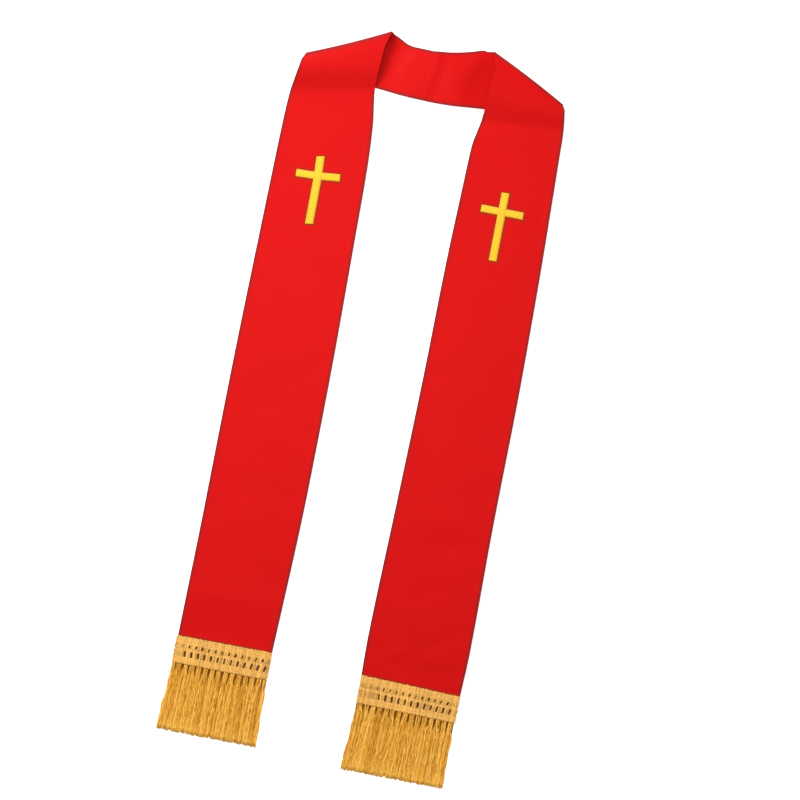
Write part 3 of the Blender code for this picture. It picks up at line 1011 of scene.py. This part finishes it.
# %% Upright yarns
def upright_yarns(begin, size, index, yarn_pitch):
    seed = size.seed
    homes = begin.node("GeometryNodeMeshLine", {"mode": "OFFSET"}, {"Count": size.yarns})
    uprights = lines_at_points(homes, YARN_SAMPLES, {
        "number": index,
        "ragged": random_number(begin, -0.8, 0.6, seed),
        "wander": random_number(begin, -1.0, 1.0, seed + 1),
        "tone": random_number(begin, 0.55, 1.05, seed + 2),
    })
    own = partial(recall, uprights)
    number, ragged = own("number"), own("ragged")
    home = size.inner + (number + 0.5) * yarn_pitch
    down = ragged + own("along") * (BRAID_DEPTH + 0.6 - ragged)
    post = (home - size.first_hole) / size.hole_pitch
    ends = (size.first_open - 0.9, size.first_open - 0.1, size.last_open + 0.1, size.last_open + 0.9)
    open_here = within((post + 0.5).floor(), ends)
    across = ((home - size.inner) / (size.outer - size.inner) - 0.5) * size.side
    apart = lean = gathered = 0.0
    for order, row in enumerate(HOLE_ROWS):
        hole = (post + (row.shift + 0.5)).floor()
        width = random_number(begin, row.narrowest, row.widest, seed + 3 + order, hole)
        width = width * (open_here * row.opening + (1 - row.opening))
        inside = within(down, row.window)
        apart = pushed(post + row.shift - hole, width) * inside + apart
        lean = (down - row.middle) * inside * (across * row.lean_across + row.lean) + lean
        gathered = inside.at_least(gathered)
    wander = (down * 0.9 + own("wander") * 6.0).sin() * own("wander") * 0.16
    out = home + apart * size.hole_pitch + wander - lean * size.side
    x, y, rest = braid_place(size, uprights, out, down)
    odd = (number * pi + pi / 2).sin()
    weave = odd * (weave_phase(down) * pi + pi / 2).sin() * WEAVE_DEPTH * (1 - gathered)
    z = rest + WEAVE_HEIGHT + weave + gathered * (odd * 0.26 + 0.15)
    return thicken(moved_to(uprights, x, y, z), size.yarn * MM, 5, 0.75)


# %% [markdown]
# ### Cross yarns and painted shade yarns
#
# A cross yarn passes over one upright yarn and under the next, which a sine in the count of uprights gives.
# The rows of them are close in the two bands, and two rows run between the rows of holes. Behind it all lie
# a few yarns whose tone is painted nearly black. They are seen only through the holes, where the real braid
# has its own back in shade, and their painted dark stands for that shade.

# %% Cross yarns and painted shade yarns
def cross_yarns(begin, size, index, yarn_pitch):
    rows = begin.node("GeometryNodeMeshLine", {"mode": "OFFSET"}, {"Count": len(BAND_ROWS)})
    level = begin.node("GeometryNodeIndexSwitch", {"data_type": "FLOAT"}, {"Index": index})
    switch = level.output.node
    while len(switch.index_switch_items) < len(BAND_ROWS):
        switch.index_switch_items.new()
    for place, value in enumerate(BAND_ROWS):
        switch.inputs[place + 1].default_value = value
    crossing = lines_at_points(rows, WEFT_SAMPLES, {
        "down": level, "tone": random_number(begin, 0.72, 1.05, size.seed + 5),
    })
    down = recall(crossing, "down")
    out = size.inner - 0.2 + recall(crossing, "along") * (size.outer - size.inner + 0.4)
    yarn_share = (out - size.inner) / yarn_pitch - 0.5
    wave = (yarn_share * pi + pi / 2).sin() * (weave_phase(down) * pi + pi / 2).sin()
    sag = (out * 0.21 + down).sin() * 0.2 + (out * 0.57 + down * 2).sin() * 0.14
    x, y, rest = braid_place(size, crossing, out, down + sag)
    crossing = moved_to(crossing, x, y, rest + WEAVE_HEIGHT - wave * WEAVE_DEPTH)
    return thicken(crossing, size.yarn * 0.82 * MM, 5, 0.8)


# Painted shade: these yarns get a tone near 0, so they are nearly black where the braid's back lies in
# shade.
def painted_shade_yarns(begin, size, index):
    row = begin.node("GeometryNodeMeshLine", {"mode": "OFFSET"}, {"Count": size.backing})
    backing = lines_at_points(row, SHADE_BACKING_SAMPLES, {
        "number": index, "tone": random_number(begin, 0.0, 0.08, size.seed + 6),
    })
    shade_backing_pitch = (size.outer - size.inner) / size.backing
    out = size.inner + (recall(backing, "number") + 0.5) * shade_backing_pitch
    down = 2.0 + recall(backing, "along") * (BRAID_DEPTH - 3.0)
    x, y, rest = braid_place(size, backing, out + (down * 0.7 + out).sin() * 0.15, down)
    return thicken(moved_to(backing, x, y, rest + 0.2), size.yarn * 0.7 * MM, 4, 0.5)


# %% Weave the braids
def braid_tree():
    tree, size = new_tree(
        "Openwork braid",
        "side inner outer top top_slant foot foot_slant first_hole hole_pitch first_open last_open "
        "cloth_inner cloth_outer cloth_end yarn",
        "yarns backing seed", cloth="Object",
    )
    begin = Wire(tree)
    index = begin.node("GeometryNodeInputIndex")
    yarn_pitch = (size.outer - size.inner) / size.yarns
    uprights = upright_yarns(begin, size, index, yarn_pitch)
    crossing = cross_yarns(begin, size, index, yarn_pitch)
    end_tree(tree, join(uprights, crossing, painted_shade_yarns(begin, size, index)), braid_yarn)
    return tree


openwork = braid_tree()
braids = {}
for side, name in SIDE_NAMES.items():
    braid = BRAIDS[side]
    cloth_end = FRONT[side][0]
    width = braid.outer - braid.inner
    braids[side] = grow(
        "braid_" + name, openwork, **braid._asdict(), cloth=cloths[side], side=float(side),
        cloth_inner=cloth_end.inner_out + HEM, cloth_outer=cloth_end.outer_out - HEM,
        cloth_end=cloth_end.inner_y + HEM, yarns=round(width / braid.hole_pitch * YARNS_PER_POST),
        backing=round(width / SHADE_BACKING_PITCH), yarn=0.58, seed=30 + side,
    )

# %% [markdown]
# ### Painted shade beside the stitches and at the edges
#
# Each stitch pulls the cloth down at its ends, where it lies in a little shade, so a cross and a braid are
# bordered by a fine dark line. That shade is painted into the cloth's colour. The pressed edge of the band
# gets a painted dark line too, standing for shade where it turns away from the light, and its very rim is
# painted a little lighter again. A mesh fine enough for this would be heavy. The cloth's material paints it
# instead: the distance of a place from a bar is plain arithmetic on its coordinates, and the smallest of
# those distances says how near a stitch is. The edge needs no arithmetic, because the mesh already carries
# the distance from its rim.

# %% Paint shade on the cloth beside the stitches and at its edges
STITCH_SHADE_START, STITCH_SHADE_WIDTH = 0.7, 3.4
STITCH_SHADE_DEPTH, EDGE_SHADE_DEPTH = 0.95, 0.88
OTHER_SIDE = 1000.0
EDGE_SHADE_FROM, EDGE_SHADE_TO = 0.3, 5.8
EDGE_LIT_SHARE, EDGE_LIT_TO = 0.24, 2.2
STITCH_SHADE_RED = (0.26, 0.018, 0.001)
EDGE_SHADE_RED = (0.16, 0.013, 0.012)

place = cloth_start.node("ShaderNodeTexCoord", None, None, out="Object")
place_x, place_y = place.part(0) / MM, place.part(1) / MM


def distance_from_bar(bar):
    """How far a place in plan is from a bar's outline, negative inside it, in millimetres."""
    middle, along = (bar.start + bar.end) / 2, (bar.end - bar.start).normalized()
    over_x, over_y = place_x - middle.x, place_y - middle.y
    beside = over_y * along.x - over_x * along.y
    forward = over_x * along.x + over_y * along.y + beside * bar.slant
    beyond_end = forward.absolute() - (bar.end - bar.start).length / 2
    return beyond_end.at_least(beside.absolute() - bar.width / 2)


nearest = None
for side in SIDE_NAMES:
    for bar in bars_of(CROSSES[side]):
        distance = distance_from_bar(bar)
        nearest = distance if nearest is None else nearest.at_most(distance)
    braid = BRAIDS[side]
    top_middle = Vector((side * (braid.inner + braid.outer) / 2, braid.top + braid.top_slant / 2))
    fall = Vector((braid.outer - braid.inner, side * braid.top_slant)).normalized()
    above = (place_y - top_middle.y) * fall.x - (place_x - top_middle.x) * fall.y
    on_side = (place_x * side).rise(0.0, 0.1)
    nearest = nearest.at_most(above + (1 - on_side) * OTHER_SIDE)
# Painted shade: the cloth's colour is darkened near the crosses' bars and along each braid's top edge.
painted_stitch_shade = 1 - nearest.rise(STITCH_SHADE_START, STITCH_SHADE_WIDTH)
rim = cloth_start.node("ShaderNodeAttribute", {"attribute_name": "rim"}, None, out="Fac")
# Painted shade: the cloth is darkened within a few millimetres of its rim, and its outermost rim is painted
# a little lighter again.
painted_edge_shade = 1 - rim.rise(EDGE_SHADE_FROM, EDGE_SHADE_TO)
painted_edge_shade = painted_edge_shade * (rim.rise(0.0, EDGE_LIT_TO) * EDGE_LIT_SHARE + (1 - EDGE_LIT_SHARE))
edge_shaded_colour = (painted_edge_shade * EDGE_SHADE_DEPTH).mix(cloth_colour, EDGE_SHADE_RED)
feed(cloth_shader, "Base Color", (painted_stitch_shade * STITCH_SHADE_DEPTH).mix(edge_shaded_colour, STITCH_SHADE_RED))
print("red cloth:", len(red_cloth.node_tree.nodes), "nodes with the shade beside its stitches")

# %% [markdown]
# ## The fringes
#
# The fringe is the braid's yarn left long and cut. It leaves the braid in tight bunches, one under each
# post, so the gaps between them stand under the holes. They open out and lie on the table. Hair curves
# would be quick to draw, but they don't export, so each strand is a thin tube. The tree gives each one a
# number. Its bunch, its place in the bunch and a few random amounts follow from that number, and a formula
# turns them into a path. A lower layer doesn't gather, so the gaps between the bunches show yarn and not
# the table. That yarn's tone is painted dark near the root, standing for the shade under the bunches.

# %% The fringes' sizes
Fringe = namedtuple("Fringe", "inner_root outer_root end inner_tip outer_tip")
FRINGES = {
    LEFT: Fringe(62.6, 190.4, -482.6, 59.7, 194.8),
    RIGHT: Fringe(61.2, 193.6, -488.6, 56.6, 195.4),
}
Chance = namedtuple("Chance", "name low high shared_by")
CHANCES = rows_of(
    Chance,
    ("root_place", -1.0, 1.0, "strand"),
    ("tip_place", -1.0, 1.0, "strand"),
    ("layer", 0.0, 1.0, "strand"),
    ("ragged", -1.0, 1.0, "strand"),
    ("own_phase", 0.0, 6.28, "strand"),
    ("clump_phase", 0.0, 6.28, "clump"),
    ("clump_lean", -1.0, 1.0, "clump"),
    ("clump_layer", 0.0, 1.0, "clump"),
    ("tone_own", 0.0, 1.0, "strand"),
    ("tone_clump", 0.0, 1.0, "clump"),
    ("ragged_clump", -1.0, 1.0, "clump"),
    ("opens_at", 2.0, 6.5, "bunch"),
)
BUNCHES = 15
STRANDS_PER_BUNCH = 42
STRAND_SAMPLES = 19
STRAND_RADIUS = 0.48
CLUMP = 4
UNDER_LAYER = 14
STILL_UNDER = 0.92
OPENING_LENGTH = 11.0
CLUMP_SWAY, CLUMP_SWAY_RATE = 0.6, 0.085
OWN_SWAY, OWN_SWAY_RATE = 0.65, 0.24
LAYERS_HEIGHT, LAYERS_RISE_AT_ROOT, LAYERS_SINK_AT_TIP = 2.0, 0.6, 1.2
BUNCH_RISE = 0.9


# %% [markdown]
# ### From the bunch to the tip
#
# A bunch leaves the braid between the middles of two holes, its "cell". A strand's root is drawn to the
# middle of its cell. Its "even" place is where it would lie if all the strands lay side by side, and its
# tip is near there too, shifted with the clump that it clings to.

# %% Roots and tips
def root_and_tip(size, strands):
    """Where a strand starts, lies and ends, and 1 on the lower layer, which doesn't gather."""
    own = partial(recall, strands)
    number = own("number")
    bunch = (number / size.strands).floor()
    rank = number - bunch * size.strands
    under = 1 - rank.rise(UNDER_LAYER - 0.6, UNDER_LAYER - 0.4)
    hole_before = bunch - 2 + bunch.at_most(1.0)
    hole_after = bunch + bunch.rise(BUNCHES - 1.6, BUNCHES - 1.4)
    cell_start = (size.first_hole + hole_before * size.hole_pitch).at_least(size.inner_root)
    cell_end = (size.first_hole + hole_after * size.hole_pitch).at_most(size.outer_root)
    cell = cell_end - cell_start
    bunch_middle = (cell_start + cell_end) * 0.5
    spread = (rank - UNDER_LAYER) / (size.strands - UNDER_LAYER)
    even = bunch_middle + (spread * (1 - under) + rank / UNDER_LAYER * under - 0.48) * cell
    gathered = bunch_middle + own("root_place") * cell * size.gather
    gathered = gathered * (1 - under) + even * under
    share_out = (even - size.inner_root) / (size.outer_root - size.inner_root)
    tip = size.inner_tip + share_out * (size.outer_tip - size.inner_tip)
    free = 1 - under * STILL_UNDER
    tip = tip + (own("tip_place") * 1.3 + own("clump_lean") * 1.2) * free
    return gathered, even, tip, share_out, under


# %% [markdown]
# ### How a strand falls
#
# "fallen" is the length of strand from its root, in millimetres. The strand stays gathered at first and then
# opens out, later on one side of the stole than on the other, as the picture shows. It sways a little by
# itself and with its clump. It stands highest at its root, where the bunch is thick, and sinks to the table.

# %% Let the strands fall
def fringe_tree():
    tree, size = new_tree(
        "Fringe",
        "side inner_root outer_root foot foot_slant end inner_tip outer_tip first_hole hole_pitch gather "
        "strand",
        "bunches strands seed",
    )
    begin = Wire(tree)
    count = size.bunches * size.strands
    row = begin.node("GeometryNodeMeshLine", {"mode": "OFFSET"}, {"Count": count})
    index = begin.node("GeometryNodeInputIndex")
    sharing = {"strand": None, "clump": (index / CLUMP).floor(), "bunch": (index / size.strands).floor()}
    drawn = {"number": index}
    for place, chance in enumerate(CHANCES):
        seed = size.seed + place
        drawn[chance.name] = random_number(begin, chance.low, chance.high, seed, sharing[chance.shared_by])
    strands = lines_at_points(row, STRAND_SAMPLES, drawn)
    own = partial(recall, strands)
    gathered, even, tip, share_out, under = root_and_tip(size, strands)

    root_y = size.foot + share_out * size.foot_slant
    long = root_y - size.end + own("ragged") * 1.6 + own("ragged_clump") * 0.9
    along = own("along")
    fallen = along * long
    opens_at = own("opens_at") + (0.5 + (share_out - 0.5) * size.side) * 6.0
    open_out = fallen.rise(opens_at, opens_at + OPENING_LENGTH)
    lean = (along * along) * 0.55 + along * 0.45
    sway_clump = (fallen * CLUMP_SWAY_RATE + own("clump_phase")).sin() * CLUMP_SWAY
    sway_own = (fallen * OWN_SWAY_RATE + own("own_phase")).sin() * OWN_SWAY
    sway = (sway_clump + sway_own) * fallen.rise(2.0, 22.0) * (1 - under * STILL_UNDER)
    out = gathered * (1 - open_out) + even * open_out + (tip - even) * lean * open_out + sway
    out = out.at_least(size.inner_tip + 0.4 - (1 - along) * 0.2).at_most(size.outer_tip - 0.4)

    layer = own("layer") * 0.6 + own("clump_layer") * 0.4
    layer = layer * (1 - under) + 0.05 * under
    at_root = 1 - fallen.rise(1.0, 17.0)
    layers = LAYERS_HEIGHT + at_root * LAYERS_RISE_AT_ROOT - along * LAYERS_SINK_AT_TIP
    z = size.strand + 0.05 + layer * layers + at_root * BUNCH_RISE * (1 - under)
    z = z + (fallen * 0.2 + own("own_phase") * 2).sin() * 0.12 * (1 - at_root) * (1 - under)
    # Painted light: strands that lie higher in the layers get a lighter tone.
    tone = own("tone_own") * 0.42 + own("tone_clump") * 0.42 + layer * 0.22 + 0.12
    # Painted shade: the lower layer's tone is darkened near the root, where the bunches above shade it.
    shade = under * (1 - fallen.rise(10.0, 26.0)) * 0.9
    # Painted highlight: the last quarter of each strand is given a lighter tone.
    painted_tip_highlight = along.rise(0.75, 1.0) * 0.15
    strands = store(strands, "tone", (tone - shade + painted_tip_highlight).at_least(0.0).at_most(1.0))
    strands = moved_to(strands, out * size.side, root_y + 0.8 - fallen, z.at_least(size.strand))
    end_tree(tree, thicken(strands, size.strand * MM, 4), fringe_yarn)
    return tree


falling = fringe_tree()
fringes = {}
for side, name in SIDE_NAMES.items():
    fringes[side] = grow(
        "fringe_yarn_" + name, falling, **BRAIDS[side]._asdict(), **FRINGES[side]._asdict(),
        side=float(side), bunches=BUNCHES, strands=STRANDS_PER_BUNCH, gather=0.34,
        strand=STRAND_RADIUS, seed=60 + side,
    )

# %% [markdown]
# ## Handing the pieces over
#
# Each detailed piece takes the place of its plain solid. The size that each half of the cloth was cut to
# is worked out too. The cut isn't simply what lies on the table: the shoulder fold is opened out, and the
# neck part is turned back over the fold line. So the flat pattern's corners are worked out first.

# %% Measure the cut of each half
FLAT_SECTIONS = 9


def mirrored(point, start, end):
    """A point's mirror image in the line from start to end, in plan."""
    line = (end - start).normalized()
    foot = start + line * (point - start).dot(line)
    return foot * 2 - point


def flat_cut(side):
    """Width, length and area of what a half was cut to, seen side, in metres."""
    edges = []
    for edge in ("inner", "outer"):
        columns = (edge + "_out", edge + "_y")
        run = [
            [Vector([getattr(section, column) for column in columns]) for section in sections]
            for sections in (FRONT[side][:FLAT_SECTIONS], [FOLD[side]], NECK[side])
        ]
        edges.append(run)
    fold_ends = [run[1][0] for run in edges]
    inner, outer = (
        run[0] + run[1] + [mirrored(point, *fold_ends) for point in run[2]] for run in edges
    )
    corners = np.array([tuple(point) for point in inner + outer[::-1]])
    following = np.roll(corners, -1, axis=0)
    area = abs(float((corners[:, 0] * following[:, 1] - corners[:, 1] * following[:, 0]).sum())) / 2
    width, length = corners.max(axis=0) - corners.min(axis=0)
    return width * MM, length * MM, area * MM * MM


cuts = {side: flat_cut(side) for side in SIDE_NAMES}
for side, name in SIDE_NAMES.items():
    print(name, "cut: width, length, area", [round(value, 4) for value in cuts[side]])

# %% Hand the pieces over
for side, name in SIDE_NAMES.items():
    pieces = [
        (cloths[side], name + "_half", "red_cloth"),
        (crosses[side], "cross_" + name, "gold_embroidery"),
        (braids[side], "heading_" + name, "gold_braid"),
        (fringes[side], "fringe_" + name, "gold_fringe"),
    ]
    for piece, node, slot in pieces:
        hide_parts(node)
        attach(piece, "root")
    width, length, area = cuts[side]
